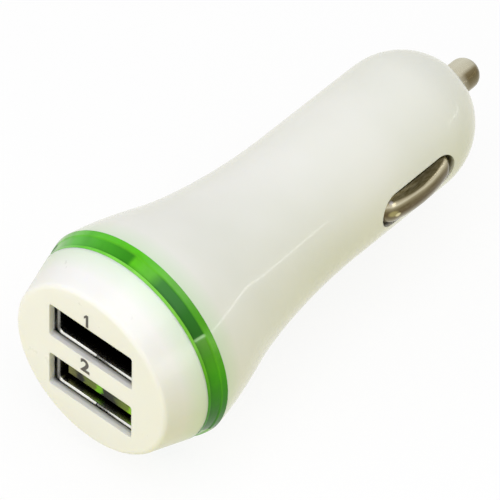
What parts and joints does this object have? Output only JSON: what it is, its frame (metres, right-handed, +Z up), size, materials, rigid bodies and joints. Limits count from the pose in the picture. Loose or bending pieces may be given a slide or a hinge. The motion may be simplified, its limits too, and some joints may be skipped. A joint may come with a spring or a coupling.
{
  "type": "car usb charger plug",
  "caption": "Trumpet-shaped in-car charger that plugs into a 12 V socket, with stacked USB-A ports in its face, a green light ring and sprung side and centre contacts.",
  "frame": {"origin": "on the plug's axis where the straight barrel begins, where the rim of the car's socket comes", "axes": "+Y along the barrel towards the centre contact, +Z up with the ports stacked along it, +X to the right as seen from the ports' side looking along +Y"},
  "size_m": [0.0306, 0.0736, 0.0306],
  "materials": {
    "white_shell": "polished white moulding",
    "ivory_cap": "satin ivory moulding",
    "green_ring": "clear green moulding",
    "port_steel": "nickel-plated sheet",
    "black_moulding": "fine matt moulding",
    "green_moulding": "fine matt moulding",
    "contact_gold": "plated strip",
    "board_green": "solder mask",
    "can_aluminium": "bare can",
    "ferrite": "ferrite",
    "fuse_body": "glazed",
    "lamp_lens": "clear lens",
    "carrier_white": "plain moulding",
    "nickel": "warm nickel plating",
    "spring_wire": "drawn wire"
  },
  "bodies": {
    "body": {"body_shell": "white_shell", "face_cap": "ivory_cap", "light_ring": "green_ring", "usb_shell_upper": "port_steel", "usb_shell_lower": "port_steel", "usb_tongue_upper": "black_moulding", "usb_tongue_lower": "green_moulding", "usb_contacts_upper": "contact_gold", "usb_contacts_lower": "contact_gold", "circuit_board": "board_green", "converter_chip": "black_moulding", "power_inductor": "ferrite", "input_capacitor": "can_aluminium", "output_capacitor": "can_aluminium", "catch_diode": "black_moulding", "input_fuse": "fuse_body", "chip_resistors": "black_moulding", "indicator_leds": "lamp_lens", "contact_carrier": "carrier_white", "positive_terminal": "contact_gold", "ground_strap_left": "contact_gold", "ground_strap_right": "contact_gold", "contact_spring": "spring_wire", "side_spring_left": "spring_wire", "side_spring_right": "spring_wire"},
    "centre_pin": {"centre_contact": "nickel"},
    "left_contact": {"side_contact_left": "nickel"},
    "right_contact": {"side_contact_right": "nickel"}
  },
  "joints": [
    {"name": "centre_press", "type": "slide", "parent": "body", "child": "centre_pin", "axis": [0, -1, 0], "range_m": [0, 0.0035], "stiffness_N_per_m": 700, "springref_m": -0.003, "deforming": ["contact_spring"]},
    {"name": "left_press", "type": "slide", "parent": "body", "child": "left_contact", "axis": [1, 0, 0], "range_m": [0, 0.0011], "stiffness_N_per_m": 1200, "springref_m": -0.001, "deforming": ["side_spring_left"]},
    {"name": "right_press", "type": "slide", "parent": "body", "child": "right_contact", "axis": [-1, 0, 0], "range_m": [0, 0.0011], "stiffness_N_per_m": 1200, "springref_m": -0.001, "deforming": ["side_spring_right"]}
  ]
}
